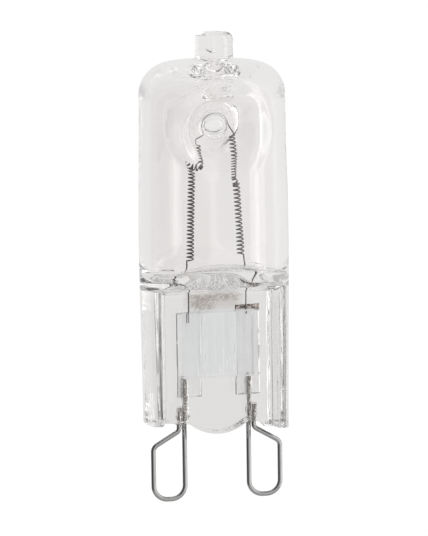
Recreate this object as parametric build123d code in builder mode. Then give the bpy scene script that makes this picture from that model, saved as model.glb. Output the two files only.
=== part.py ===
"""A mains halogen capsule lamp with two looped wire pins on a flat pressed base.

The lamp is a quartz tube. Its top is a nearly flat dome with the melted stub of the exhaust
tube on it. Two dimples, pressed in from the front and the back, meet in the middle as a glass
post, and the tungsten coil hangs over that post. The tube's lower end is pressed flat round
two molybdenum foils, which join the coil's tails to the two pins. Each pin is one wire, bent
into a closed loop that a lampholder grips.

Frame: +Z runs up the lamp's axis, X runs from pin to pin and the front is at -Y. The origin
is on the axis, in the plane where the pins leave the glass. Sizes are in millimetres.
"""

from build123d import *
from math import cos, hypot, radians, sin, sqrt
import os

# Tube, dome and tip
tube_radius = 6.68  # outside, under the shoulder
tube_bulge_radius = 6.88  # the tube is a little wider above the press
bulge_height = 17.5
foot_radius = 6.72  # outside, at the foot of the pressed base
wall = 1.2
dome_height = 33.8
dome_fall = 0.2  # from the tip down to the dome's edge
dome_wall = 1.6
shoulder_radius = 2.9
tip_offset = 0.25  # the tip sits a little right of the axis
tip_radius = 1.73
tip_height = 2.5  # above the dome
tip_rounding = 0.65
tip_root_fillet = 0.3
tip_sunk = 0.5  # how far the tip runs down into the dome
bore_mouth_radius = 0.7  # the exhaust bore, where it opens into the gas space
bore_flare_radius = 1.2  # where it passes the dome's outer face
bore_cap = 0.35  # rounded end of the bore, above the dome
bore_lead = 1.0  # the bore's cutter starts this far inside the gas space

# Dimples and the post between them
dimple_height = 27.85
dimple_rim_radius = 4.15
dimple_pit_radius = 1.05
dimple_depth_left = 1.4  # from the middle plane to the bottom of each dimple
dimple_rim_rounding = 0.6
lip_clearance = 0.5  # how far the flank runs past the glass at the rim's sides
lip_flare = 1.15  # how much wider than the rim the cutter ends
lip_setback = 0.1  # the glass is this much thicker at the rim
flank_balance = 0.45  # below a half, the flank bellies outwards
rim_lean = 0.1
rim_search = 0.7  # how far the rim's edge may lie from the rim's circle
post_radius = 1.3
post_wall = 0.9  # glass round the dimple's pit

# Pressed base: a flat web between two ribs
press_height = 12.75  # where the flat web ends
bowl_height = 17.8  # where the press starts to flatten the tube
bowl_lead = 0.5  # how steeply the bowl leaves the ribs' faces
web_half = 1.5
web_rounding = 0.5
web_corner = 0.7
rib_half = 2.75
rib_inner = 5.05  # half width of the web between the ribs
rib_slope = 0.35
rib_rise = 0.4  # the ribs' faces run on above the web
rib_fillet = 0.25
pocket_reach = 3  # the pocket's cutter, in heights of a rib above the web
foot_left = 0.5  # the pressed foot is a little lower on the right
foot_right = -0.2
foot_rounding = 0.25
mouth_height = 0.35  # foot of the glass where the pins come out
mouth_width = 1.3
mouth_inner_share = 0.25  # of the mouth's spare width, what lies inside the long leg
lobe_half = 2.7  # half width of the rounded tongue between the pins
lobe_drop = 0.68
pad_width = 6.7  # raised pad on each face of the web
pad_low = 4.75
pad_high = 10.8
pad_raise = 0.15
pad_groove_pitch = 0.56
pad_groove_depth = 0.06
pad_groove_share = 0.72  # width of a groove in its pitch

# Gas space
floor_height = 13.9
floor_half_depth = 1.9  # half depth of the gas space at its floor
floor_rise = 0.6  # the floor is higher in the middle
inner_shoulder_radius = 1.9

# Filament
wire_radius = 0.06
coil_radius = 0.29  # to the middle of the wire
coil_turns = 30
left_coil_lift = 1.54  # foot of the coil above the gas space's floor
right_coil_lift = 1.88
left_coil_foot = (-2.22, floor_height + left_coil_lift)  # X and Z of the coil's axis
left_coil_head = (-1.88, 25.85)
right_coil_foot = (2.56, floor_height + right_coil_lift)
right_coil_head = (1.98, 26.70)
wrap_clearance = 0.02
wrap_start = 200  # degrees round the post where the wire meets it
wrap_end = 30  # degrees where the wire leaves it
hook_rise = 0.6  # over the left coil
hook_corner = 0.2
hook_reach = 0.6  # straight run before the wire meets the post
tail_overlap = 0.9  # welded length on the foil
weld_flat = 0.01  # how far a weld flattens the wire

# Foils
foil_width = 2.3
foil_thickness = 0.04
foil_edge = 0.3  # width of each thinned edge
foil_foot = 2.8
left_foil_x = -2.55
left_foil_head = 10.6
right_foil_x = 2.95
right_foil_head = 11.2

# Pins
pin_radius = 0.225
pin_spacing = 9.0  # middle to middle of the two loops
loop_width = 2.95  # between the middles of a loop's two legs
loop_drop = 6.78  # origin to the middle of the wire at the loop's foot
loop_corner = 1.3
shoulder_drop = 1.85  # where the outer leg turns in
shoulder_corner = 0.7
stub_gap = 0.05  # between the long leg and the turned-in end
stub_drop = 0.42
stub_corner = 0.5
leg_top = 4.6  # the long leg is welded to the foil
stub_top = 1.85
socket_clearance = 0.08  # ragged pocket round the two wires at the mouth

# Working values
beyond = 3.0  # how far cutters reach past the glass
near = 0.05  # how close to its place an edge is looked for
skim = 0.02  # a cutter's clearance from a face that it leaves alone
foil_middle = wire_radius - weld_flat + foil_thickness / 2
pin_plane = foil_middle - foil_thickness / 2 - pin_radius + weld_flat
dome_edge = dome_height - dome_fall
tip_top = dome_height + tip_height
bore_top = dome_height + bore_cap
loop_inner = (pin_spacing - loop_width) / 2
loop_outer = (pin_spacing + loop_width) / 2
stub_x = loop_inner + 2 * pin_radius + stub_gap
wrap_radius = post_radius + wire_radius + wrap_clearance

os.makedirs("parts", exist_ok=True)


# Molybdenum foils, thinned to a knife edge along both sides
def make_foil(x, head):
    half = foil_width / 2
    flat = half - foil_edge
    skin = foil_thickness / 2
    with BuildPart() as foil:
        with BuildSketch(Plane((x, foil_middle, foil_foot))):
            with BuildLine():
                Polyline(
                    (-half, 0),
                    (-flat, skin),
                    (flat, skin),
                    (half, 0),
                    (flat, -skin),
                    (-flat, -skin),
                    close=True,
                )
            make_face()
        extrude(amount=head - foil_foot)
    return foil


foil_left = make_foil(left_foil_x, left_foil_head)
foil_right = make_foil(right_foil_x, right_foil_head)


# Pins: one wire each, from the weld on the foil down, round the loop and back into the glass
def make_pin(side, foil):
    with BuildPart() as pin:
        with BuildLine(Plane.XZ.offset(-pin_plane)) as route:
            FilletPolyline(
                (side * loop_inner, leg_top),
                (side * loop_inner, -loop_drop),
                (side * loop_outer, -loop_drop),
                (side * loop_outer, -shoulder_drop),
                (side * stub_x, -stub_drop),
                (side * stub_x, stub_top),
                radius=[loop_corner, loop_corner, shoulder_corner, stub_corner],
            )
        with BuildSketch(Plane(route.line @ 0, z_dir=route.line % 0)):
            Circle(pin_radius)
        sweep()
        add(foil.part, mode=Mode.SUBTRACT)
    return pin


pin_left = make_pin(-1, foil_left)
pin_right = make_pin(1, foil_right)


# Filament: one wire, which hangs over the post, with a coil on each leg and a straight tail
# to each foil. Each coil is drawn as a ridged sleeve, one ridge for each turn of the wire.
def coil_plane(foot, head):
    """At the foot of a coil's axis, with local x pointing away from the lamp's axis."""
    outward = 1 if foot[0] > 0 else -1
    rise = Vector(head[0] - foot[0], 0, head[1] - foot[1])
    across = Vector(rise.Z, 0, -rise.X) * outward
    return Plane((foot[0], 0, foot[1]), x_dir=across, z_dir=rise)


def coil_length(foot, head):
    return hypot(head[0] - foot[0], head[1] - foot[1])


def coil_point(foot, head, along):
    """X and Z of the wire's middle on the coil's outer side, some way up its axis."""
    point = coil_plane(foot, head).from_local_coords((coil_radius, 0, along))
    return (point.X, point.Z)


def wrap_point(angle):
    return (
        wrap_radius * cos(radians(angle)),
        dimple_height + wrap_radius * sin(radians(angle)),
    )


filament = BuildPart()
tails = []
coil_ends = []
for foot, head, foil_head in (
    (left_coil_foot, left_coil_head, left_foil_head),
    (right_coil_foot, right_coil_head, right_foil_head),
):
    length = coil_length(foot, head)
    pitch = length / coil_turns
    ridge = coil_radius + wire_radius
    valley = coil_radius - wire_radius / 2
    hollow = coil_radius - wire_radius
    outline = [(hollow, 0), (valley, 0)]
    for turn in range(coil_turns):
        outline.append((ridge, pitch * (turn + 0.5)))
        outline.append((valley, pitch * (turn + 1)))
    outline.append((hollow, length))
    plane = coil_plane(foot, head)
    with filament:
        with BuildSketch(Plane(plane.origin, x_dir=plane.x_dir, z_dir=-plane.y_dir)):
            with BuildLine():
                Polyline(*outline, close=True)
            make_face()
        revolve(axis=Axis(plane.origin, plane.z_dir))
    tail_x, tail_top = coil_point(foot, head, pitch)
    tail_foot = foil_head - tail_overlap
    with BuildPart() as tail:
        with BuildSketch(Plane.XY.offset(tail_foot)):
            with Locations((tail_x, 0)):
                Circle(wire_radius)
        extrude(amount=tail_top - tail_foot)
    tails.append(tail)
    coil_ends.append(coil_point(foot, head, length - pitch))
    with filament:
        add(tail.part)

left_end, right_end = coil_ends
meet = wrap_point(wrap_start)
start_angle = radians(wrap_start)
approach = (
    meet[0] - hook_reach * sin(start_angle),
    meet[1] + hook_reach * cos(start_angle),
)
with filament:
    with BuildLine(Plane.XZ) as bridge:
        FilletPolyline(
            left_end,
            (left_end[0], left_coil_head[1] + hook_rise),
            approach,
            meet,
            radius=hook_corner,
        )
        CenterArc((0, dimple_height), wrap_radius, wrap_start, wrap_end - wrap_start)
        Line(wrap_point(wrap_end), right_end)
    with BuildSketch(Plane((left_end[0], 0, left_end[1]), z_dir=(0, 0, 1))):
        Circle(wire_radius)
    sweep(path=bridge.line, transition=Transition.ROUND)
    add(foil_left.part, mode=Mode.SUBTRACT)
    add(foil_right.part, mode=Mode.SUBTRACT)


# Envelope: tube, dome, tip, post and pressed base are one piece of quartz
dimple_axis = Axis((0, 0, dimple_height), (0, 1, 0))
inner_radius = tube_radius - wall
inner_top = dome_height - dome_wall
reach = tube_bulge_radius + beyond


def side_profile(radius, bulge, foot, crown, fall, corner_radius):
    """Half section of the tube and its dome: a line, a swelling side and a rounded shoulder."""
    edge = crown - fall
    with BuildSketch() as profile:
        with BuildLine():
            Polyline((0, crown), (0, -beyond), (foot, -beyond))
            Spline(
                (foot, -beyond),
                (bulge, bulge_height),
                (radius, edge - corner_radius),
                tangents=[(0, 1), (0, 1)],
            )
            CenterArc((radius - corner_radius, edge - corner_radius), corner_radius, 0, 90)
            Spline(
                (radius - corner_radius, edge),
                (0, crown),
                tangents=[(-1, 0), (-1, 0)],
            )
        make_face()
    return profile.sketch


def press_profile(face, foot, top, full):
    """Side view of what is pressed off front and back: local x is depth and y is height."""
    with BuildSketch() as profile:
        with BuildLine():
            Line((face, -beyond), (face, foot))
            Spline((face, foot), (full, top), tangents=[(1, bowl_lead), (0, 1)])
            Polyline((full, top), (reach, top), (reach, -beyond), (face, -beyond))
        make_face()
        mirror(about=Plane.YZ)
    return profile.sketch


def make_dimples(waist, waist_depth, lip, lip_depth, pit):
    """Both dimples: local x is the radius, local y the distance from the middle plane."""
    middle_depth = flank_balance * waist_depth + (1 - flank_balance) * lip_depth
    low = waist_depth - waist if pit else 0
    with BuildPart() as dimples:
        for up in (1, -1):
            with BuildSketch(Plane((0, 0, dimple_height), x_dir=(1, 0, 0), z_dir=(0, 0, up))):
                with BuildLine():
                    if pit:
                        CenterArc((0, waist_depth), waist, -90, 90)
                    else:
                        Polyline((0, 0), (waist, 0), (waist, waist_depth))
                    Spline(
                        (waist, waist_depth),
                        ((waist + lip) / 2, middle_depth),
                        (lip, lip_depth),
                        (lip_flare * lip, reach),
                        tangents=[(0, 1), (rim_lean, 1)],
                    )
                    Polyline((lip_flare * lip, reach), (0, reach), (0, low))
                make_face()
            revolve(axis=dimple_axis)
    return dimples


# The gas space: a smaller tube, pressed with it, less the glass round the dimples
lip_depth = sqrt(tube_radius**2 - dimple_rim_radius**2) + lip_clearance
bulge_inside = tube_bulge_radius - wall
with BuildPart() as gas:
    with BuildSketch(Plane.XZ):
        add(
            side_profile(
                inner_radius,
                bulge_inside,
                foot_radius - wall,
                inner_top,
                dome_fall,
                inner_shoulder_radius,
            )
        )
    revolve(axis=Axis.Z)
    with BuildSketch(Plane.YZ):
        add(press_profile(floor_half_depth, floor_height, bowl_height, bulge_inside))
    extrude(amount=reach, both=True, mode=Mode.SUBTRACT)
    with BuildSketch(Plane.XZ):
        with BuildLine():
            Polyline(
                (reach, floor_height - floor_rise),
                (reach, -2 * beyond),
                (-reach, -2 * beyond),
                (-reach, floor_height - floor_rise),
            )
            ThreePointArc(
                (-reach, floor_height - floor_rise),
                (0, floor_height + floor_rise),
                (reach, floor_height - floor_rise),
            )
        make_face()
    extrude(amount=reach, both=True, mode=Mode.SUBTRACT)
    glass_round_pit = make_dimples(
        post_radius,
        dimple_depth_left + dimple_pit_radius - post_wall,
        dimple_rim_radius + post_wall,
        lip_depth - lip_setback,
        False,
    )
    add(glass_round_pit.part, mode=Mode.SUBTRACT)

# The exhaust bore: it widens upwards from its mouth and ends in a low cap inside the tip
with BuildPart() as bore:
    with BuildSketch(Plane.XZ.shift_origin((tip_offset, 0, 0))):
        with BuildLine():
            Polyline(
                (0, bore_top),
                (0, inner_top - bore_lead),
                (bore_mouth_radius, inner_top - bore_lead),
                (bore_mouth_radius, inner_top),
                (bore_flare_radius, dome_height),
            )
            Spline(
                (bore_flare_radius, dome_height),
                (0, bore_top),
                tangents=[(0, 1), (-1, 0)],
            )
        make_face()
    revolve(axis=Axis((tip_offset, 0, 0), (0, 0, 1)))
with gas:
    add(bore.part)

# What the press leaves between the ribs: one pocket in front and one behind
with BuildPart() as pocket:
    with BuildSketch(Plane.XY.offset(-beyond)):
        Polygon(
            (-rib_inner, 0),
            (rib_inner, 0),
            (rib_inner + pocket_reach * rib_slope, pocket_reach * (rib_half - web_half)),
            (-rib_inner - pocket_reach * rib_slope, pocket_reach * (rib_half - web_half)),
            align=(Align.CENTER, Align.MIN),
        )
    extrude(amount=beyond + press_height)
    crown_corners = pocket.edges().filter_by(lambda e: e.center().Z > press_height - near)
    fillet(crown_corners.filter_by(lambda e: abs(e.center().X) > rib_inner), web_corner)
    low_edges = pocket.edges().filter_by(lambda e: e.center().Y < near)
    fillet(low_edges.filter_by(lambda e: e.center().Z > -beyond / 2), web_rounding)

# The pads that the jaws leave on the web, with fine grooves from the jaws' milling
with BuildPart() as pad:
    with BuildSketch(Plane.XY.offset(pad_low)):
        RectangleRounded(pad_width, 2 * (web_half + pad_raise), pad_raise)
        groove_half = pad_groove_pitch * pad_groove_share / 2
        groove_radius = (groove_half**2 + pad_groove_depth**2) / (2 * pad_groove_depth)
        groove_rows = 2 * (web_half + pad_raise + groove_radius - pad_groove_depth)
        groove_count = int(pad_width / pad_groove_pitch) - 1
        with GridLocations(pad_groove_pitch, groove_rows, groove_count, 2):
            Circle(groove_radius, mode=Mode.SUBTRACT)
    extrude(amount=pad_high - pad_low)

with BuildPart() as quartz_envelope:
    with BuildSketch(Plane.XZ):
        add(
            side_profile(
                tube_radius,
                tube_bulge_radius,
                foot_radius,
                dome_height,
                dome_fall,
                shoulder_radius,
            )
        )
    revolve(axis=Axis.Z)
    with BuildSketch(Plane.YZ):
        add(
            press_profile(
                rib_half,
                press_height + rib_rise,
                bowl_height,
                tube_bulge_radius + skim,
            )
        )
    extrude(amount=reach, both=True, mode=Mode.SUBTRACT)
    with Locations((0, web_half, 0), Location((0, -web_half, 0), (0, 0, 180))):
        add(pocket.part, mode=Mode.SUBTRACT)
    add(pad.part)
    # the foot: a step up at each mouth and a rounded tongue between the pins
    mouth_in = loop_inner - (mouth_width - 2 * pin_radius) * mouth_inner_share
    mouth_out = mouth_in + mouth_width
    with BuildSketch(Plane.XZ):
        with BuildLine():
            Polyline(
                (-lobe_half, mouth_height),
                (-mouth_out, mouth_height),
                (-mouth_out - foot_rounding, foot_left),
                (-reach, foot_left),
                (-reach, -2 * beyond),
                (reach, -2 * beyond),
                (reach, foot_right),
                (mouth_out + foot_rounding, foot_right),
                (mouth_out, mouth_height),
                (lobe_half, mouth_height),
            )
            ThreePointArc(
                (-lobe_half, mouth_height),
                (0, -lobe_drop),
                (lobe_half, mouth_height),
            )
        make_face()
    extrude(amount=reach, both=True, mode=Mode.SUBTRACT)
    face_edges = quartz_envelope.edges().filter_by(
        lambda e: abs(abs(e.center().Y) - rib_half) < near
    )
    opening = face_edges.filter_by(
        lambda e: abs(e.center().X) < rib_inner + rib_slope + near
        and foot_left + near < e.center().Z < press_height + near
    )
    fillet(opening, radius=rib_fillet)

    # the tip, on a root that flows into the dome, and the two dimples
    with BuildSketch(Plane.XY.offset(dome_edge - tip_sunk)):
        with Locations((tip_offset, 0)):
            Circle(tip_radius)
    extrude(amount=tip_top - dome_edge + tip_sunk)
    tip_rim = quartz_envelope.edges().filter_by(lambda e: e.center().Z > tip_top - near)
    fillet(tip_rim, radius=tip_rounding)
    tip_root = quartz_envelope.edges().filter_by(
        lambda e: dome_edge < (e @ 0.5).Z < dome_height + near
        and abs(hypot((e @ 0.5).X - tip_offset, (e @ 0.5).Y) - tip_radius) < near
    )
    fillet(tip_root, radius=tip_root_fillet)
    dimples = make_dimples(
        dimple_pit_radius,
        dimple_depth_left + dimple_pit_radius,
        dimple_rim_radius,
        lip_depth,
        True,
    )
    add(dimples.part, mode=Mode.SUBTRACT)
    rims = quartz_envelope.edges().filter_by(
        lambda e: abs((e @ 0.5).Y) > lip_depth - lip_clearance - rim_search
        and abs(hypot((e @ 0.5).X, (e @ 0.5).Z - dimple_height) - dimple_rim_radius) < rim_search
    )
    fillet(rims, radius=dimple_rim_rounding)
    add(gas.part, mode=Mode.SUBTRACT)

    # room for the metal: open sockets round the wires at the mouths, then the exact shapes
    with BuildSketch(Plane.XY.offset(-beyond)):
        socket_middle = (loop_inner + stub_x) / 2
        socket_depth = 2 * (pin_radius + socket_clearance)
        socket_width = stub_x - loop_inner + socket_depth
        with Locations((-socket_middle, pin_plane), (socket_middle, pin_plane)):
            RectangleRounded(socket_width, socket_depth, pin_radius)
    extrude(amount=beyond + stub_top + socket_clearance, mode=Mode.SUBTRACT)
    for metal in (foil_left, foil_right, pin_left, pin_right, tails[0], tails[1]):
        add(metal.part, mode=Mode.SUBTRACT)

quartz_envelope.part.label = "quartz_envelope"
filament.part.label = "filament"
foil_left.part.label = "foil_left"
foil_right.part.label = "foil_right"
pin_left.part.label = "pin_left"
pin_right.part.label = "pin_right"
export_step(quartz_envelope.part, "parts/quartz_envelope.step")
export_step(filament.part, "parts/filament.step")
export_step(foil_left.part, "parts/foil_left.step")
export_step(foil_right.part, "parts/foil_right.step")
export_step(pin_left.part, "parts/pin_left.step")
export_step(pin_right.part, "parts/pin_right.step")
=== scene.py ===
import bpy
import bmesh
import math
from mathutils import Matrix, Vector, noise


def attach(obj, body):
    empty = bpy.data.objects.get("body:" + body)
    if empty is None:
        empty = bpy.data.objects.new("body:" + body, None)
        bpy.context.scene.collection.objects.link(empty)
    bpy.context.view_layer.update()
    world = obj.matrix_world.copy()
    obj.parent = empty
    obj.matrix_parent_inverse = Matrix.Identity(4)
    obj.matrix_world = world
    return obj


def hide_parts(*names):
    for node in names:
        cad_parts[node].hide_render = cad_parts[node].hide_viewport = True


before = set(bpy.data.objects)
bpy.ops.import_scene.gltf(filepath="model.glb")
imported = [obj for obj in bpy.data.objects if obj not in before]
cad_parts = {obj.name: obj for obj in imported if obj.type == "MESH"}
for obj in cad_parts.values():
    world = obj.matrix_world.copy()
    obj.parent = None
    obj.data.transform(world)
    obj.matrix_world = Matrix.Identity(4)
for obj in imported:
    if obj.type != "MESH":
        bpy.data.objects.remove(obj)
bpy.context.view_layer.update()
mm = 0.001
print("frame loaded")


# small helpers

def smoothStep(low, high, value):
    t = min(1.0, max(0.0, (value - low) / (high - low)))
    return t * t * (3 - 2 * t)


def blendMin(a, b, width):  # the lesser of two depths, with a rounded change between them
    h = max(width - abs(a - b), 0.0) / width
    return min(a, b) - h * h * width / 4


def spread(start, end, count):  # evenly spaced places after the start, up to the end
    return [start + (end - start) * i / count for i in range(1, count + 1)]


def linearColour(code):  # sRGB hex to linear
    values = [int(code[i:i + 2], 16) / 255 for i in (0, 2, 4)]
    return tuple(v / 12.92 if v <= 0.04045 else ((v + 0.055) / 1.055) ** 2.4 for v in values) + (1.0,)


def addNode(tree, kind, settings=None, links=None):  # inputs that share a name are linked by identifier
    node = tree.nodes.new(kind)
    for name, value in (settings or {}).items():
        if name in node.inputs.keys():
            node.inputs[name].default_value = value
        else:
            setattr(node, name, value)
    for name, source in (links or {}).items():
        socket = next((s for s in node.inputs if s.identifier == name), None) or node.inputs[name]
        tree.links.new(source, socket)
    return node


def finishPiece(bm, name, material, nodes):
    for v in bm.verts:
        v.co *= mm
    mesh = bpy.data.meshes.new(name)
    bm.to_mesh(mesh)
    bm.free()
    mesh.materials.append(material)
    for p in mesh.polygons:
        p.use_smooth = True
    piece = bpy.data.objects.new(name, mesh)
    bpy.context.scene.collection.objects.link(piece)
    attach(piece, "root")
    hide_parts(*nodes)
    return piece


def newMaterial(name):
    material = bpy.data.materials.new(name)
    material.use_nodes = True
    tree = material.node_tree
    tree.nodes.clear()
    return material, tree


def overlap(tree, pattern, *others):  # the product of several patterns
    for other in others:
        product = addNode(tree, "ShaderNodeMath", {"operation": "MULTIPLY"},
                          {"Value": pattern, "Value_001": other})
        pattern = product.outputs["Value"]
    return pattern


def layColours(tree, base, *coats):  # each coat is a mask and a colour, as a hex code or a node's output
    for mask, coat in coats:
        mix = addNode(tree, "ShaderNodeMix", {"data_type": "RGBA"}, {"Factor_Float": mask, "A_Color": base})
        upper = next(s for s in mix.inputs if s.identifier == "B_Color")
        if isinstance(coat, str):
            upper.default_value = linearColour(coat)
        else:
            tree.links.new(coat, upper)
        base = next(s for s in mix.outputs if s.identifier == "Result_Color")
    return base


def setStops(ramp, stops):  # places and colours; the first two are the ramp's own stops
    for i, (place, colour) in enumerate(stops):
        stop = ramp.elements[i] if i < 2 else ramp.elements.new(place)
        stop.position = place
        stop.color = colour


# materials

quartz = {  # millimetres: patterns as a cell's width and height, bands as low end, high end and softness
    "ripple": (2.4, 6.0), "drawn": (0.32, 9.0), "milled": (0.2, 9.0), "cloud": (1.1, 0.7), "grit": 0.16,
    "drawnUp": (-1.0, 12.4, 0.3), "pressedUp": (-2.0, 12.4, 0.3),
    "padsAcross": (-3.35, 3.2, 0.08), "padsUp": (4.75, 10.8, 0.08),
    "stainAcross": (-2.4, 2.2, 0.5), "stainUp": (10.9, 12.4, 0.2),
    "bareAcross": (-0.3, 3.4, 0.4), "bareUp": (10.0, 11.75, 0.15),
}


def makeFusedQuartz():
    # fused quartz, blown and pressed hot: clear, with faint ripples, jaw marks and a frosted patch
    material, tree = newMaterial("fusedQuartz")
    place = addNode(tree, "ShaderNodeTexCoord").outputs["Object"]
    apart = addNode(tree, "ShaderNodeSeparateXYZ", links={"Vector": place})

    def band(axis, low, high, soft):  # 1 between two places along an axis
        rise = addNode(tree, "ShaderNodeMapRange",
                       {"From Min": (low - soft) * mm, "From Max": (low + soft) * mm},
                       {"Value": apart.outputs[axis]})
        fall = addNode(tree, "ShaderNodeMapRange",
                       {"From Min": (high + soft) * mm, "From Max": (high - soft) * mm},
                       {"Value": apart.outputs[axis]})
        return overlap(tree, rise.outputs["Result"], fall.outputs["Result"])

    def cells(wide, tall, detail):  # noise, stretched to a cell's width and height
        size = (1 / (wide * mm), 1 / (wide * mm), 1 / (tall * mm))
        stretch = addNode(tree, "ShaderNodeMapping", {"Scale": size}, {"Vector": place})
        return addNode(tree, "ShaderNodeTexNoise", {"Scale": 1.0, "Detail": detail, "Roughness": 0.6},
                       {"Vector": stretch.outputs["Vector"]}).outputs["Fac"]

    ripple = cells(*quartz["ripple"], 2.0)
    rippleBump = addNode(tree, "ShaderNodeBump", {"Strength": 0.06, "Distance": 0.25 * mm},
                         {"Height": ripple})
    # lines drawn down the pressed part, finer where the jaws met the web
    drawn = overlap(tree, cells(*quartz["drawn"], 2.0), band("Z", *quartz["drawnUp"]))
    drawnBump = addNode(tree, "ShaderNodeBump", {"Strength": 0.35, "Distance": 0.05 * mm},
                        {"Height": drawn, "Normal": rippleBump.outputs["Normal"]})
    pads = overlap(tree, band("X", *quartz["padsAcross"]), band("Z", *quartz["padsUp"]))
    milled = overlap(tree, cells(*quartz["milled"], 1.0), pads)
    milledBump = addNode(tree, "ShaderNodeBump", {"Strength": 1.0, "Distance": 0.12 * mm},
                         {"Height": milled, "Normal": drawnBump.outputs["Normal"]})
    # a stained patch above the pads, where the glass was pinched last, frosted along its top and left
    grit = addNode(tree, "ShaderNodeTexVoronoi", {"Scale": 1 / (quartz["grit"] * mm)}, {"Vector": place})
    speckle = addNode(tree, "ShaderNodeSeparateColor", links={"Color": grit.outputs["Color"]})
    grain = addNode(tree, "ShaderNodeMapRange", {"To Min": 0.05}, {"Value": speckle.outputs["Red"]})
    cloud = addNode(tree, "ShaderNodeMapRange", {"From Min": 0.2, "From Max": 0.36},
                    {"Value": cells(*quartz["cloud"], 4.0)})
    stained = overlap(tree, band("X", *quartz["stainAcross"]), band("Z", *quartz["stainUp"]))
    bare = overlap(tree, band("X", *quartz["bareAcross"]), band("Z", *quartz["bareUp"]))
    edged = addNode(tree, "ShaderNodeMath", {"operation": "SUBTRACT", "use_clamp": True},
                    {"Value": stained, "Value_001": bare})
    frost = overlap(tree, edged.outputs["Value"], grain.outputs["Result"], cloud.outputs["Result"])
    stain = addNode(tree, "ShaderNodeMapRange", {"To Max": 0.35}, {"Value": stained})
    pitted = addNode(tree, "ShaderNodeBump", {"Strength": 0.3, "Distance": 0.02 * mm},
                     {"Height": frost, "Normal": milledBump.outputs["Normal"]})
    rough = addNode(tree, "ShaderNodeMapRange", {"To Max": 0.5}, {"Value": frost})
    tint = addNode(tree, "ShaderNodeValToRGB", links={"Fac": ripple})
    setStops(tint.color_ramp, [(0.0, linearColour("fbf9f8")), (1.0, linearColour("fffefe"))])
    colour = layColours(tree, tint.outputs["Color"], (band("Z", *quartz["pressedUp"]), "f0efee"),
                        (pads, "e9eaeb"), (stain.outputs["Result"], "a0948a"), (frost, "a0948a"))
    shader = addNode(tree, "ShaderNodeBsdfPrincipled", {"IOR": 1.458, "Transmission Weight": 1.0},
                     {"Normal": pitted.outputs["Normal"], "Base Color": colour,
                      "Roughness": rough.outputs["Result"]})
    addNode(tree, "ShaderNodeOutputMaterial", links={"Surface": shader.outputs["BSDF"]})
    return material


metal = {  # millimetres: sizes of grain and lines, and heights where a tint sets in
    "tungstenGrain": 0.08, "rolling": 0.22, "foilBlotch": 0.18, "browned": (10.55, 10.75),
    "dieLines": 0.09, "pinBlotch": 0.16, "heated": (-0.3, 1.2),
}


def makeTungsten():
    # drawn tungsten wire, recrystallised by heat: dull mid-grey with a fine grain
    material, tree = newMaterial("drawnTungsten")
    place = addNode(tree, "ShaderNodeTexCoord").outputs["Object"]
    grain = addNode(tree, "ShaderNodeTexNoise", {"Scale": 1 / (metal["tungstenGrain"] * mm), "Detail": 4.0},
                    {"Vector": place})
    colour = addNode(tree, "ShaderNodeValToRGB", links={"Fac": grain.outputs["Fac"]})
    setStops(colour.color_ramp, [(0.0, linearColour("5c5856")), (1.0, linearColour("8f8b88"))])
    rough = addNode(tree, "ShaderNodeMapRange", {"To Min": 0.32, "To Max": 0.5},
                    {"Value": grain.outputs["Fac"]})
    shader = addNode(tree, "ShaderNodeBsdfPrincipled", {"Metallic": 1.0},
                     {"Base Color": colour.outputs["Color"], "Roughness": rough.outputs["Result"]})
    addNode(tree, "ShaderNodeOutputMaterial", links={"Surface": shader.outputs["BSDF"]})
    return material


def makeMolybdenum():
    # etched molybdenum foil: satin and nearly white, with rolling lines along its length
    material, tree = newMaterial("etchedMolybdenum")
    place = addNode(tree, "ShaderNodeTexCoord").outputs["Object"]
    along = addNode(tree, "ShaderNodeMapping", {"Scale": (1, 1, 0.03)}, {"Vector": place})
    lines = addNode(tree, "ShaderNodeTexNoise", {"Scale": 1 / (metal["rolling"] * mm), "Detail": 3.0},
                    {"Vector": along.outputs["Vector"]})
    colour = addNode(tree, "ShaderNodeValToRGB", links={"Fac": lines.outputs["Fac"]})
    setStops(colour.color_ramp, [(0.0, linearColour("ececec")), (1.0, linearColour("fdfdfd"))])
    # the head of the right foil is browned where it oxidised
    apart = addNode(tree, "ShaderNodeSeparateXYZ", links={"Vector": place})
    low, high = metal["browned"]
    head = addNode(tree, "ShaderNodeMapRange", {"From Min": low * mm, "From Max": high * mm},
                   {"Value": apart.outputs["Z"]})
    blotch = addNode(tree, "ShaderNodeTexNoise", {"Scale": 1 / (metal["foilBlotch"] * mm), "Detail": 5.0},
                     {"Vector": place})
    brown = addNode(tree, "ShaderNodeValToRGB", links={"Fac": blotch.outputs["Fac"]})
    setStops(brown.color_ramp, [(0.42, linearColour("4a3a35")), (0.6, linearColour("cfc6c0"))])
    tinted = layColours(tree, colour.outputs["Color"], (head.outputs["Result"], brown.outputs["Color"]))
    bump = addNode(tree, "ShaderNodeBump", {"Strength": 0.25, "Distance": 0.02 * mm},
                   {"Height": lines.outputs["Fac"]})
    shader = addNode(tree, "ShaderNodeBsdfPrincipled", {"Metallic": 1.0, "Roughness": 0.42},
                     {"Base Color": tinted, "Normal": bump.outputs["Normal"]})
    addNode(tree, "ShaderNodeOutputMaterial", links={"Surface": shader.outputs["BSDF"]})
    return material


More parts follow.
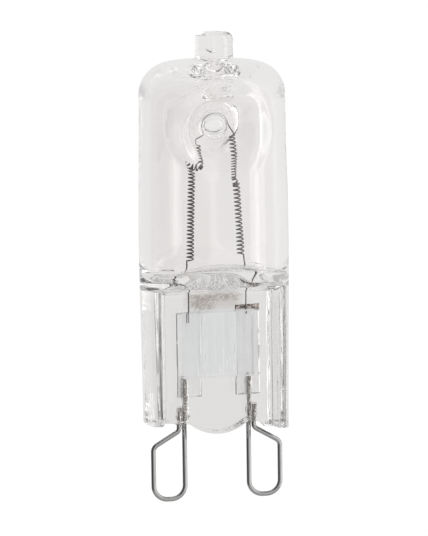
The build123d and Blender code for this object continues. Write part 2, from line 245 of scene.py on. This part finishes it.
def makePinWire():
    # drawn pin wire, bright, with fine die lines, and mottled by heat inside the glass
    material, tree = newMaterial("drawnPinWire")
    place = addNode(tree, "ShaderNodeTexCoord").outputs["Object"]
    along = addNode(tree, "ShaderNodeMapping", {"Scale": (1, 1, 0.08)}, {"Vector": place})
    lines = addNode(tree, "ShaderNodeTexNoise", {"Scale": 1 / (metal["dieLines"] * mm), "Detail": 3.0},
                    {"Vector": along.outputs["Vector"]})
    bright = addNode(tree, "ShaderNodeValToRGB", links={"Fac": lines.outputs["Fac"]})
    setStops(bright.color_ramp, [(0.0, linearColour("8b8a8a")), (1.0, linearColour("a8a7a6"))])
    height = addNode(tree, "ShaderNodeSeparateXYZ", links={"Vector": place})
    low, high = metal["heated"]
    heat = addNode(tree, "ShaderNodeMapRange", {"From Min": low * mm, "From Max": high * mm},
                   {"Value": height.outputs["Z"]})
    blotch = addNode(tree, "ShaderNodeTexNoise", {"Scale": 1 / (metal["pinBlotch"] * mm), "Detail": 3.0},
                     {"Vector": place})
    stain = addNode(tree, "ShaderNodeValToRGB", links={"Fac": blotch.outputs["Fac"]})
    setStops(stain.color_ramp, [(0.38, linearColour("6e6661")), (0.62, linearColour("e4e1de"))])
    tinted = layColours(tree, bright.outputs["Color"], (heat.outputs["Result"], stain.outputs["Color"]))
    bump = addNode(tree, "ShaderNodeBump", {"Strength": 0.15, "Distance": 0.01 * mm},
                   {"Height": lines.outputs["Fac"]})
    worked = addNode(tree, "ShaderNodeMapRange", {"To Min": 0.13, "To Max": 0.3},
                     {"Value": heat.outputs["Result"]})
    shader = addNode(tree, "ShaderNodeBsdfPrincipled", {"Metallic": 1.0},
                     {"Base Color": tinted, "Roughness": worked.outputs["Result"],
                      "Normal": bump.outputs["Normal"]})
    addNode(tree, "ShaderNodeOutputMaterial", links={"Surface": shader.outputs["BSDF"]})
    return material


quartzGlass = makeFusedQuartz()
tungstenWire = makeTungsten()
molybdenumFoil = makeMolybdenum()
pinWire = makePinWire()
print("materials made")


# the envelope: outer skin, then the gas space as an inner skin, in millimetres

tube = {
    "topRadius": 6.68, "bulgeRadius": 6.88, "bulgeHeight": 17.5, "footRadius": 6.72,
    "domeHeight": 33.8, "domeFall": 0.2, "shoulderRadius": 2.9,
    "tipOffset": 0.25, "tipRadius": 1.73, "tipHeight": 2.5, "tipRounding": 0.6, "tipRoot": 0.35,
    "tipWave": 0.03, "tipWaveTurn": 1.1,
    "shift": {"low": -0.2, "high": 0.1, "outside": 3.4, "inside": 2.1},  # the dome follows the tip in here
    "steps": 208, "rowStep": 0.22, "fineStep": 0.09,
    "fineFoot": 0.4, "fineBelow": 0.5, "fineAbove": 1.0, "finePad": 0.3,
}
gas = {
    "wall": 1.2, "domeWall": 1.75, "domeEdge": 0.02, "shoulder": 1.9,
    "floor": 13.6, "corner": 1.3, "firstRow": 0.15, "trough": 2.2, "troughLeast": 0.03,
    "archRise": 0.75, "archHalf": 3.4, "archReach": 2.5, "blend": 0.5, "leastDepth": 0.3,
    "boreMouth": 0.7, "boreFlare": 1.2, "boreTop": 34.1, "mouthRounding": 0.2,
    "shift": {"low": -0.6, "high": 0.4, "outside": 2.0, "inside": 1.2},
    "tableStep": 0.1, "tableSize": 90, "steps": 152,
}
dimple = {
    "height": 27.85, "rim": 4.6, "slope": 1.85, "rimRounding": 1.4,
    "pit": 0.9, "oval": 0.1, "ovalFade": 0.5, "pitSink": 5.4, "innerSink": 4.95, "pitRounding": 1.0,
    "refined": 2.9, "cuts": 2,
    "postRadius": 1.3, "postDepth": 0.5, "postReach": 4.0, "postCuts": 9,
    "postBlend": 0.5, "postBlendDepth": 3.4, "postSmooth": 0.4, "postPasses": 4,
}
press = {
    "top": 12.75, "bowl": 17.8, "bowlStart": 0.4, "bowlOver": 0.5, "bowlBlend": 0.6,
    "webHalf": 1.5, "ribHalf": 2.75, "ribInner": 5.05, "ribSlope": 0.35, "ribSoft": 0.05, "ribBlend": 0.35,
    "ledge": 0.2, "ledgeTop": 0.3,
    "footLeft": 0.5, "footRight": -0.2, "footRounding": 0.35, "footReach": 3.0, "undersideBlend": 0.3,
    "mouthHeight": 0.35, "mouthEdge": (3.9, 4.3), "lobeHalf": 2.7, "lobeDrop": 0.68,
    "padHalf": 3.35, "padLow": 4.75, "padHigh": 10.8, "padRaise": 0.15, "padSlope": 0.2, "padEdge": 0.08,
    "groove": 0.15, "grooveCells": (2.5, 0.03), "swell": 0.06, "swellCells": (0.5, 0.4),
}
near = 0.01  # closer than this is the same height


def tubeRadius(z, inset):
    if z > tube["bulgeHeight"]:
        share = smoothStep(tube["bulgeHeight"], tube["domeHeight"] - tube["shoulderRadius"], z)
        return tube["bulgeRadius"] + (tube["topRadius"] - tube["bulgeRadius"]) * share - inset
    share = smoothStep(0, tube["bulgeHeight"], z)
    return tube["footRadius"] + (tube["bulgeRadius"] - tube["footRadius"]) * share - inset


def tipShift(zone, height, radius, z):  # the tip stands a little to the right of the tube's axis
    rise = smoothStep(height + zone["low"], height + zone["high"], z)
    return tube["tipOffset"] * rise * smoothStep(zone["outside"], zone["inside"], radius)


def dimpleSink(x, z, deepest):  # how far a skin is pushed in: a cone with a rounded rim and an oval pit
    r = math.hypot(x, z - dimple["height"])
    if r >= dimple["rim"]:
        return 0.0
    stretch = 1 + dimple["oval"] * smoothStep(dimple["rim"] - dimple["ovalFade"], dimple["pit"], r)
    across = math.hypot(x / stretch, (z - dimple["height"]) * stretch)
    edge = max(0.0, dimple["rim"] - across)
    soft = dimple["rimRounding"]
    cone = dimple["slope"] * (edge - soft / 2 if edge > soft else edge * edge / (2 * soft))
    return blendMin(cone, deepest, dimple["pitRounding"])


def bowlDepth(z):  # the outer skin bulges from the pressed base out to the tube
    start = press["top"] + press["bowlStart"]
    t = min(1.0, max(0.0, (z - start) / (press["bowl"] - start)))
    full = tubeRadius(z, 0) + press["bowlOver"]
    return press["ribHalf"] + (full - press["ribHalf"]) * math.sqrt(1 - (1 - t) ** 2)


def gasDepth(z):  # how deep the gas lies behind the bowl, with a full wall between them
    steps = [gas["wall"] * i / 12 for i in range(-12, 13)]
    return min(bowlDepth(z + s) - math.sqrt(gas["wall"] ** 2 - s * s) for s in steps)


gasDepths = [gasDepth(press["top"] + gas["tableStep"] * i) for i in range(gas["tableSize"])]


def lookUp(table, place, step):  # a value from a table, between its entries
    i = min(len(table) - 2, max(0, int(place / step)))
    share = min(1.0, max(0.0, place / step - i))
    return table[i] * (1 - share) + table[i + 1] * share


def footHeight(x):  # the underside: a lobe between the pins, a mouth round each and a foot outside
    middle = press["lobeHalf"]
    if abs(x) < middle:
        rise = press["mouthHeight"] + press["lobeDrop"]
        radius = (middle ** 2 + rise ** 2) / (2 * rise)
        return press["mouthHeight"] + radius - rise - math.sqrt(radius ** 2 - x * x)
    foot = press["footLeft"] if x < 0 else press["footRight"]
    out = smoothStep(*press["mouthEdge"], abs(x))
    return press["mouthHeight"] + (foot - press["mouthHeight"]) * out


def webDepth(x, z):  # the flat web, with its raised and grooved pad
    edge = press["padEdge"]
    pad = smoothStep(press["padHalf"], press["padHalf"] - press["padSlope"], abs(x))
    pad *= smoothStep(press["padLow"] - edge, press["padLow"] + edge, z)
    pad *= smoothStep(press["padHigh"] + edge, press["padHigh"] - edge, z)
    wide, tall = press["grooveCells"]
    groove = press["groove"] * noise.noise(Vector((x * wide, 0.0, z * tall)))
    wide, tall = press["swellCells"]
    swell = press["swell"] * noise.noise(Vector((x * wide, 3.0, z * tall)))
    return press["webHalf"] + pad * (press["padRaise"] + groove) + swell


def pressDepth(x, z):  # how deep the outer skin may be: web, ribs, bowl, and a rounded underside
    soft = press["ribSoft"]
    slope = smoothStep(press["ribInner"] - soft, press["ribInner"] + press["ribSlope"] + soft, abs(x))
    ledge = smoothStep(press["top"] - press["ledge"], press["top"] + press["ledge"], z)
    rib = max(slope, ledge)
    depth = webDepth(x, z) * (1 - rib) + bowlDepth(z) * rib
    above = max(0.0, z - footHeight(x))
    c = press["footRounding"]
    if above < c:
        depth -= c - math.sqrt(c * c - (c - above) ** 2)
    return depth


def spinProfile(points, steps):
    bm = bmesh.new()
    verts = [bm.verts.new((r, 0, z)) for r, z in points]
    edges = [bm.edges.new(pair) for pair in zip(verts, verts[1:])]
    bmesh.ops.spin(bm, geom=verts + edges, cent=(0, 0, 0), axis=(0, 0, 1), angle=2 * math.pi,
                   steps=steps, use_merge=True)
    bmesh.ops.remove_doubles(bm, verts=bm.verts, dist=0.002)
    bmesh.ops.recalc_face_normals(bm, faces=bm.faces)
    return bm


def arcPoints(cx, cz, radius, start, end, count):
    return [(cx + radius * math.cos(math.radians(start + (end - start) * i / count)),
             cz + radius * math.sin(math.radians(start + (end - start) * i / count)))
            for i in range(count + 1)]


def rowHeights(low, high):  # rows stand closer at the bottom, round the ledge and at the pads' ends
    fine = [(low - near, low + tube["fineFoot"]),
            (press["top"] - tube["fineBelow"], press["top"] + tube["fineAbove"])]
    fine += [(press[end] - tube["finePad"], press[end] + tube["finePad"]) for end in ("padLow", "padHigh")]
    rows = [low]
    while rows[-1] < high - tube["rowStep"]:
        close = any(start < rows[-1] < end for start, end in fine)
        rows.append(rows[-1] + (tube["fineStep"] if close else tube["rowStep"]))
    return rows


def refine(bm):  # smaller faces where the dimples will be pressed
    def inside(v):
        return math.hypot(v.co.x, v.co.z - dimple["height"]) < dimple["refined"]
    edges = [e for e in bm.edges if inside(e.verts[0]) and inside(e.verts[1])]
    bmesh.ops.subdivide_edges(bm, edges=edges, cuts=dimple["cuts"], use_grid_fill=True)


def outerProfile():
    t = tube
    edge = t["domeHeight"] - t["domeFall"]
    shoulder = t["shoulderRadius"]
    points = [(0.0, 0.0)] + [(r, 0.0) for r in spread(0.0, t["footRadius"], 40)]
    points += [(tubeRadius(z, 0), z) for z in rowHeights(0.02, edge - shoulder)]
    points += arcPoints(t["topRadius"] - shoulder, edge - shoulder, shoulder, 0, 90, 22)
    flat = t["topRadius"] - shoulder
    root = t["tipRadius"] + t["tipRoot"]
    points += [(r, edge + t["domeFall"] * smoothStep(flat, root, r)) for r in spread(flat, root, 8)]
    points += arcPoints(root, t["domeHeight"] + t["tipRoot"], t["tipRoot"], -90, -180, 6)[1:]
    tipTop = t["domeHeight"] + t["tipHeight"]
    sides = spread(t["domeHeight"] + t["tipRoot"], tipTop - t["tipRounding"], 8)[:-1]
    points += [(t["tipRadius"] + t["tipWave"] * math.sin(i * t["tipWaveTurn"]), z)
               for i, z in enumerate(sides, 1)]
    crown = t["tipRadius"] - t["tipRounding"]
    points += arcPoints(crown, tipTop - t["tipRounding"], t["tipRounding"], 0, 90, 8)
    return points + [(r, tipTop) for r in spread(crown, 0.0, 5)]


def outerSkin():
    bm = spinProfile(outerProfile(), tube["steps"])
    refine(bm)
    for v in bm.verts:
        x, y, z = v.co
        shift = tipShift(tube["shift"], tube["domeHeight"], math.hypot(x, y), z)
        if z < press["footReach"]:
            z = z + footHeight(x) * (1 - z / press["footReach"])
        if v.co.z < near:  # the underside shrinks with its edge
            full = math.sqrt(max(0.0, tube["footRadius"] ** 2 - x * x))
            y *= min(1.0, blendMin(full, pressDepth(x, z), press["undersideBlend"]) / max(full, 0.001))
        elif z <= press["bowl"]:
            blend = press["ribBlend"] if z < press["top"] + press["ledgeTop"] else press["bowlBlend"]
            y = math.copysign(max(0.0, blendMin(abs(y), pressDepth(x, z), blend)), y)
        y = math.copysign(abs(y) - dimpleSink(x, z, dimple["pitSink"]), y)
        v.co = (x + shift, y, z)
    return bm


def innerProfile():
    g = gas
    top = tube["domeHeight"] - g["domeWall"]
    edge = top - g["domeEdge"]
    start = tubeRadius(g["floor"], g["wall"]) - g["corner"]
    points = [(0.0, g["floor"])] + [(r, g["floor"]) for r in spread(0.0, start, 26)[:-1]]
    points += arcPoints(start, g["floor"] + g["corner"], g["corner"], -90, 0, 9)
    low = g["floor"] + g["corner"] + g["firstRow"]
    points += [(tubeRadius(z, g["wall"]), z) for z in rowHeights(low, edge - g["shoulder"])]
    flat = tube["topRadius"] - g["wall"] - g["shoulder"]
    points += arcPoints(flat, edge - g["shoulder"], g["shoulder"], 0, 90, 12)
    mouth = g["boreMouth"] + g["mouthRounding"]
    points += [(r, top) for r in spread(flat, mouth, 20)]
    lip = top + g["mouthRounding"]
    points += arcPoints(mouth, lip, g["mouthRounding"], -90, -180, 4)[1:]
    # the bore widens upwards to a low cap
    points += list(zip(spread(g["boreMouth"], g["boreFlare"], 8), spread(lip, tube["domeHeight"], 8)))
    cap = g["boreTop"] - tube["domeHeight"]
    for turn in spread(0, 90, 10):
        angle = math.radians(turn)
        points.append((g["boreFlare"] * math.cos(angle), tube["domeHeight"] + cap * math.sin(angle)))
    return points


def innerSkin():
    g = gas
    bottom = g["floor"]
    foot = tubeRadius(bottom, g["wall"])
    bm = spinProfile(innerProfile(), g["steps"])
    refine(bm)
    for v in bm.verts:
        x, y, z = v.co
        arch = math.cos(min(abs(x) / g["archHalf"], 1) * math.pi / 2)
        z += g["archRise"] * arch * smoothStep(bottom + g["archReach"], bottom, z)
        share = min(1.0, max(g["troughLeast"], (v.co.z - bottom) / g["trough"]))
        depth = lookUp(gasDepths, z - press["top"], g["tableStep"]) * math.sqrt(1 - (1 - share) ** 2)
        if v.co.z < bottom + near:
            reach = math.sqrt(max(0.0, foot ** 2 - x * x))
            y *= depth / max(depth, reach)
        elif z < press["bowl"]:
            y = math.copysign(max(0.0, blendMin(abs(y), depth, min(g["blend"], depth))), y)
        if abs(y) > g["leastDepth"]:
            y = math.copysign(max(g["leastDepth"], abs(y) - dimpleSink(x, z, dimple["innerSink"])), y)
        shift = tipShift(g["shift"], tube["domeHeight"] - g["domeWall"], math.hypot(x, y), z)
        v.co = (x + shift, y, z)
    makePost(bm)
    bmesh.ops.recalc_face_normals(bm, faces=bm.faces)
    bmesh.ops.reverse_faces(bm, faces=bm.faces)  # the glass lies outside this skin
    return bm


def makePost(bm):  # the pits of both dimples are opened and joined by a waist of glass
    d = dimple

    def across(place):
        return math.hypot(place.x, place.z - d["height"])

    middles = [(f, f.calc_center_median()) for f in bm.faces]
    pits = [f for f, place in middles if across(place) < d["postRadius"] and abs(place.y) < d["postReach"]]
    bmesh.ops.delete(bm, geom=pits, context="FACES")
    rims = [e for e in bm.edges if e.is_boundary]
    for v in {v for e in rims for v in e.verts}:
        scale = d["postRadius"] / across(v.co)
        rise = (v.co.z - d["height"]) * scale
        v.co = (v.co.x * scale, math.copysign(d["postDepth"], v.co.y), d["height"] + rise)
    bridged = bmesh.ops.bridge_loops(bm, edges=rims)
    bmesh.ops.subdivide_edges(bm, edges=bridged["edges"], cuts=d["postCuts"], use_grid_fill=True)
    waist = [v for v in bm.verts
             if across(v.co) < d["postRadius"] + d["postBlend"] and abs(v.co.y) < d["postBlendDepth"]]
    for _ in range(d["postPasses"]):
        bmesh.ops.smooth_vert(bm, verts=waist, factor=d["postSmooth"],
                              use_axis_x=True, use_axis_y=True, use_axis_z=True)


pinPlane = -0.165  # both wires of a pin lie in this plane
pocket = {  # gas caught in the glass: two bubbles in the tip, a socket round each pin, a gap by each leg
    "bubble": {"place": (-0.4, -0.2, 34.5), "half": (0.5, 0.5, 0.09), "bend": 0.5, "tilt": 30},
    "bead": {"place": (0.72, -0.3, 35.1), "half": (0.13, 0.13, 0.17), "tilt": 20},
    "socket": {"place": (3.27, pinPlane, 1.25), "half": (0.6, 0.33, 0.75), "square": 0.5, "ragged": 0.25},
    "gap": {"place": (3.025, pinPlane, 3.4), "half": (0.28, 0.28, 1.4), "square": 0.6, "ragged": 0.35},
    "raggedCells": (9.0, 9.0, 2.5), "segments": 32, "rings": 28,
}


def gasPocket(axis, side, place, half, square=1.0, bend=0.0, tilt=0.0, ragged=0.0):
    place = (axis + side * place[0], place[1], place[2])
    bm = bmesh.new()
    bmesh.ops.create_uvsphere(bm, u_segments=pocket["segments"], v_segments=pocket["rings"], radius=1.0)
    wide, deep, tall = pocket["raggedCells"]
    for v in bm.verts:
        x, y, z = [math.copysign(abs(c) ** square, c) * size for c, size in zip(v.co, half)]
        rough = 1 + ragged * noise.noise(Vector((x * wide, y * deep + place[0], z * tall)))
        v.co = (x * rough, y * rough, z + bend * (x * x + y * y) / half[0])
    bmesh.ops.rotate(bm, verts=bm.verts, matrix=Matrix.Rotation(math.radians(tilt), 3, "Y"))
    bmesh.ops.translate(bm, verts=bm.verts, vec=place)
    bmesh.ops.recalc_face_normals(bm, faces=bm.faces)
    bmesh.ops.reverse_faces(bm, faces=bm.faces)
    return bm


def makeEnvelope():
    outer = outerSkin()
    spaces = [innerSkin()]
    spaces += [gasPocket(tube["tipOffset"], 1, **pocket[name]) for name in ("bubble", "bead")]
    spaces += [gasPocket(0.0, side, **pocket[name]) for side in (-1, 1) for name in ("socket", "gap")]
    for space in spaces:
        holder = bpy.data.meshes.new("gasSpace")
        space.to_mesh(holder)
        space.free()
        outer.from_mesh(holder)
        bpy.data.meshes.remove(holder)
    print("envelope faces", len(outer.faces))
    return finishPiece(outer, "quartzEnvelope", quartzGlass, ["quartz_envelope"])


makeEnvelope()
print("envelope made")


# wires: one smooth path for each, given a round section

def makeWire(name, points, radius, sides, material, nodes):
    curve = bpy.data.curves.new(name + "Path", "CURVE")
    curve.dimensions = "3D"
    curve.bevel_depth = radius * mm
    curve.bevel_resolution = sides
    curve.use_fill_caps = True
    line = curve.splines.new("POLY")
    line.points.add(len(points) - 1)
    for spot, p in zip(line.points, points):
        spot.co = (p[0] * mm, p[1] * mm, p[2] * mm, 1)
    holder = bpy.data.objects.new(name + "Path", curve)
    bm = bmesh.new()
    mesh = bpy.data.meshes.new_from_object(holder)
    bm.from_mesh(mesh)
    bpy.data.objects.remove(holder)
    bpy.data.curves.remove(curve)
    bpy.data.meshes.remove(mesh)
    bmesh.ops.remove_doubles(bm, verts=bm.verts, dist=0.0005 * mm)
    bmesh.ops.recalc_face_normals(bm, faces=bm.faces)
    for v in bm.verts:
        v.co /= mm
    return finishPiece(bm, name, material, nodes)


def roundedPath(corners, radii, step):  # corners in X and Z, each turned on its own radius
    path = [Vector(corners[0])]
    for before, corner, after, radius in zip(corners, corners[1:], corners[2:], radii):
        corner = Vector(corner)
        back = (Vector(before) - corner).normalized()
        ahead = (Vector(after) - corner).normalized()
        half = back.angle(ahead) / 2
        centre = corner + (back + ahead).normalized() * radius / math.sin(half)
        start = corner + back * radius / math.tan(half) - centre
        turn = math.pi - 2 * half
        if back.cross(ahead) > 0:
            turn = -turn
        count = max(3, int(abs(turn) * radius / step))
        for i in range(count + 1):
            angle = turn * i / count
            path.append(centre + Vector((start.x * math.cos(angle) - start.y * math.sin(angle),
                                         start.x * math.sin(angle) + start.y * math.cos(angle))))
    path.append(Vector(corners[-1]))
    return path


pin = {
    "radius": 0.225, "spacing": 9.0, "loopWidth": 2.95, "loopDrop": 6.78, "loopCorner": 1.3,
    "shoulderDrop": 1.85, "shoulderCorner": 0.7, "stubGap": 0.05, "stubDrop": 0.42, "stubCorner": 0.5,
    "legTop": 4.6, "stubTop": 1.85, "bendStep": 0.12, "sides": 4,
}


def makePins():
    inner = (pin["spacing"] - pin["loopWidth"]) / 2
    outer = (pin["spacing"] + pin["loopWidth"]) / 2
    stub = inner + 2 * pin["radius"] + pin["stubGap"]
    for side, name in ((-1, "left"), (1, "right")):
        corners = [(side * inner, pin["legTop"]), (side * inner, -pin["loopDrop"]),
                   (side * outer, -pin["loopDrop"]), (side * outer, -pin["shoulderDrop"]),
                   (side * stub, -pin["stubDrop"]), (side * stub, pin["stubTop"])]
        radii = [pin["loopCorner"], pin["loopCorner"], pin["shoulderCorner"], pin["stubCorner"]]
        path = [(p.x, pinPlane, p.y) for p in roundedPath(corners, radii, pin["bendStep"])]
        makeWire(name + "Pin", path, pin["radius"], pin["sides"], pinWire, ["pin_" + name])


makePins()
print("pins made")

coil = {
    "wire": 0.068, "sides": 2, "radius": 0.29, "turns": 30, "pointsPerTurn": 14,
    "leftFoot": (-2.22, 15.44), "leftHead": (-1.88, 25.85),
    "rightFoot": (2.56, 15.78), "rightHead": (1.98, 26.70),
    "leftTailFoot": 9.7, "rightTailFoot": 10.3,
    "hookRise": 0.6, "hookCorner": 0.2, "hookReach": 0.6, "hookStep": 0.05,
    "wrapStart": 200, "wrapEnd": 30, "wrapGap": 0.02, "wrapSteps": 24,
    "uneven": 0.05, "unevenRate": 0.013, "sway": 0.03, "swayRate": 0.006,
}


def coilLeg(foot, head):  # the wire of one coiled leg, from its foot to its head
    outward = 1 if foot[0] > 0 else -1
    rise = Vector((head[0] - foot[0], 0, head[1] - foot[1]))
    across = Vector((rise.z, 0, -rise.x)).normalized() * outward
    deep = rise.normalized().cross(across)
    start = Vector((foot[0], 0, foot[1]))
    count = coil["turns"] * coil["pointsPerTurn"]
    path = []
    for i in range(count + 1):
        angle = 2 * math.pi * i / coil["pointsPerTurn"]
        uneven = coil["uneven"] * noise.noise(Vector((i * coil["unevenRate"], foot[0], 5.0))) / coil["turns"]
        sway = coil["sway"] * noise.noise(Vector((i * coil["swayRate"], foot[0], 9.0)))
        spot = start + rise * (i / count + uneven) + across * (coil["radius"] * math.cos(angle) + sway)
        path.append(spot + deep * coil["radius"] * math.sin(angle))
    return path


def makeFilament():
    left = coilLeg(coil["leftFoot"], coil["leftHead"])
    right = coilLeg(coil["rightFoot"], coil["rightHead"])
    wrap = dimple["postRadius"] + coil["wire"] + coil["wrapGap"]
    start = math.radians(coil["wrapStart"])
    meet = Vector((wrap * math.cos(start), dimple["height"] + wrap * math.sin(start)))
    approach = meet + Vector((-math.sin(start), math.cos(start))) * coil["hookReach"]
    end = left[-1]
    corners = [(end.x, end.z), (end.x, coil["leftHead"][1] + coil["hookRise"]), tuple(approach), tuple(meet)]
    hook = roundedPath(corners, [coil["hookCorner"], coil["hookCorner"]], coil["hookStep"])
    path = [(left[0].x, 0, coil["leftTailFoot"])] + [tuple(p) for p in left]
    path += [(p.x, 0, p.y) for p in hook[1:]]
    for angle in spread(coil["wrapStart"], coil["wrapEnd"], coil["wrapSteps"]):
        turn = math.radians(angle)
        path.append((wrap * math.cos(turn), 0, dimple["height"] + wrap * math.sin(turn)))
    path += [tuple(p) for p in reversed(right)]
    path.append((right[0].x, 0, coil["rightTailFoot"]))
    makeWire("filamentWire", path, coil["wire"], coil["sides"], tungstenWire, ["filament"])


makeFilament()
print("filament made")

foil = {
    "width": 2.3, "thickness": 0.04, "edge": 0.3, "foot": 2.8, "middle": 0.07,
    "headStart": 0.9, "headCut": 0.03, "headRagged": 0.03, "wave": 0.006, "thinShare": 0.15,
    "left": (-2.55, 10.6, -0.02), "right": (2.95, 11.2, 0.01),  # centre, head, slant of the head
}


def makeFoils():
    for name in ("left", "right"):
        centre, head, slant = foil[name]
        bm = bmesh.new()
        bmesh.ops.create_grid(bm, x_segments=16, y_segments=60, size=0.5)
        for v in bm.verts:
            x, t = v.co.x * foil["width"], v.co.y + 0.5
            ragged = foil["headRagged"] * noise.noise(Vector((x * 3.0, centre, 0.0))) - foil["headCut"]
            z = foil["foot"] + (head - foil["foot"] + slant * x) * t
            z += ragged * smoothStep(foil["headStart"], 1, t)
            wave = foil["wave"] * noise.noise(Vector((x * 2.0, z * 0.4, centre)))
            v.co = (centre + x, foil["middle"] + wave, z)
        bmesh.ops.solidify(bm, geom=bm.faces[:], thickness=foil["thickness"])
        bmesh.ops.translate(bm, verts=bm.verts, vec=(0, foil["thickness"] / 2, 0))
        for v in bm.verts:  # both long edges thin to a knife edge
            inward = foil["width"] / 2 - abs(v.co.x - centre)
            share = foil["thinShare"] + (1 - foil["thinShare"]) * smoothStep(0, foil["edge"], inward)
            v.co.y = foil["middle"] + (v.co.y - foil["middle"]) * share
        bmesh.ops.recalc_face_normals(bm, faces=bm.faces)
        finishPiece(bm, name + "Foil", molybdenumFoil, ["foil_" + name])


makeFoils()
print("foils made")


# the stage: pale sweep, soft light, camera

stage = {
    "floor": -0.055, "back": 0.75, "front": -0.9, "half": 0.9, "high": 0.9, "curve": 0.25,
    "camera": {"azimuth": -12.0, "elevation": 9.0, "roll": 0.75, "distance": 0.35, "aim": 0.0146,
               "pixelsPerMetre": 10900.0, "imageHigh": 536, "sensor": 36.0, "clip": (0.01, 10.0)},
    "sweepGlow": 1.02, "strength": 4.0, "ends": 0.2, "warmth": 0.02,
    # brightness round the lamp, from behind by the left, the front and the right to behind again
    "walls": [(0.0, 0.205), (1.0, 0.205), (0.14, 0.2), (0.18, 0.06), (0.23, 0.04), (0.39, 0.04),
              (0.44, 0.06), (0.465, 0.29), (0.58, 0.29), (0.645, 0.31), (0.66, 0.9), (0.7, 0.8),
              (0.715, 0.27), (0.79, 0.235), (0.83, 0.22), (0.87, 0.21)],
    # how far the walls reach down and up
    "levels": [(0.0, 0.0), (1.0, 0.0), (0.22, 0.0), (0.3, 1.0), (0.85, 1.0), (0.93, 0.0)],
}


def makeSweep():
    bm = bmesh.new()
    curve = stage["curve"]
    points = [(stage["front"], stage["floor"])]
    for i in range(17):
        angle = math.radians(-90 + 90 * i / 16)
        points.append((stage["back"] - curve + curve * math.cos(angle),
                       stage["floor"] + curve + curve * math.sin(angle)))
    points.append((stage["back"], stage["high"]))
    verts = [bm.verts.new((-stage["half"], y, z)) for y, z in points]
    edges = [bm.edges.new(pair) for pair in zip(verts, verts[1:])]
    made = bmesh.ops.extrude_edge_only(bm, edges=edges)
    moved = [g for g in made["geom"] if isinstance(g, bmesh.types.BMVert)]
    bmesh.ops.translate(bm, verts=moved, vec=(2 * stage["half"], 0, 0))
    mesh = bpy.data.meshes.new("paleSweep")
    bm.to_mesh(mesh)
    bm.free()
    material, tree = newMaterial("paleSweepWhite")
    glow = addNode(tree, "ShaderNodeEmission",
                   {"Color": linearColour("ffffff"), "Strength": stage["sweepGlow"]})
    addNode(tree, "ShaderNodeOutputMaterial", links={"Surface": glow.outputs["Emission"]})
    mesh.materials.append(material)
    for p in mesh.polygons:
        p.use_smooth = True
    sweep = bpy.data.objects.new("paleSweep", mesh)
    bpy.context.scene.collection.objects.link(sweep)
    # the sweep is for the camera alone, and the studio air lights the lamp
    sweep.visible_diffuse = sweep.visible_glossy = sweep.visible_transmission = sweep.visible_shadow = False


def warmGrey(value):
    return value, value * (1 - stage["warmth"] * value / 2), value * (1 - stage["warmth"] * value), 1


def makeLight():
    # studio air: even behind and in front, dark on the left, and one bright strip on the right
    world = bpy.data.worlds.new("studioAir")
    world.use_nodes = True
    tree = world.node_tree
    tree.nodes.clear()
    place = addNode(tree, "ShaderNodeTexCoord").outputs["Generated"]
    turned = addNode(tree, "ShaderNodeMapping", {"Rotation": (0, 0, math.pi / 2)}, {"Vector": place})
    around = addNode(tree, "ShaderNodeTexGradient", {"gradient_type": "RADIAL"},
                     {"Vector": turned.outputs["Vector"]})
    walls = addNode(tree, "ShaderNodeValToRGB", links={"Fac": around.outputs["Fac"]})
    setStops(walls.color_ramp, [(at, warmGrey(value)) for at, value in stage["walls"]])
    height = addNode(tree, "ShaderNodeSeparateXYZ", links={"Vector": place})
    up = addNode(tree, "ShaderNodeMapRange", {"From Min": -1.0, "From Max": 1.0},
                 {"Value": height.outputs["Z"]})
    level = addNode(tree, "ShaderNodeValToRGB", links={"Fac": up.outputs["Result"]})
    setStops(level.color_ramp, [(at, warmGrey(value)) for at, value in stage["levels"]])
    ends = addNode(tree, "ShaderNodeRGB")
    ends.outputs["Color"].default_value = (stage["ends"], stage["ends"], stage["ends"], 1)
    air = layColours(tree, ends.outputs["Color"], (level.outputs["Color"], walls.outputs["Color"]))
    glow = addNode(tree, "ShaderNodeBackground", {"Strength": stage["strength"]}, {"Color": air})
    addNode(tree, "ShaderNodeOutputWorld", links={"Surface": glow.outputs["Background"]})
    bpy.context.scene.world = world


def makeCamera():
    c = stage["camera"]
    a, e = math.radians(c["azimuth"]), math.radians(c["elevation"])
    back = Vector((math.sin(a) * math.cos(e), -math.cos(a) * math.cos(e), math.sin(e)))
    data = bpy.data.cameras.new("camera")
    data.sensor_width = c["sensor"]
    data.lens = c["pixelsPerMetre"] * c["distance"] * data.sensor_width / c["imageHigh"]
    data.clip_start, data.clip_end = c["clip"]
    camera = bpy.data.objects.new("camera", data)
    camera.location = Vector((0, 0, c["aim"])) + back * c["distance"]
    roll = Matrix.Rotation(-math.radians(c["roll"]), 3, "Z").to_quaternion()
    camera.rotation_mode = "QUATERNION"
    camera.rotation_quaternion = (-back).to_track_quat("-Z", "Y") @ roll
    bpy.context.scene.collection.objects.link(camera)
    bpy.context.scene.camera = camera


makeSweep()
makeLight()
makeCamera()
scene = bpy.context.scene
scene.view_settings.view_transform = "Standard"
scene.cycles.max_bounces = 32
scene.cycles.transmission_bounces = 28
scene.cycles.glossy_bounces = 12
scene.cycles.use_denoising = True
print("stage made")
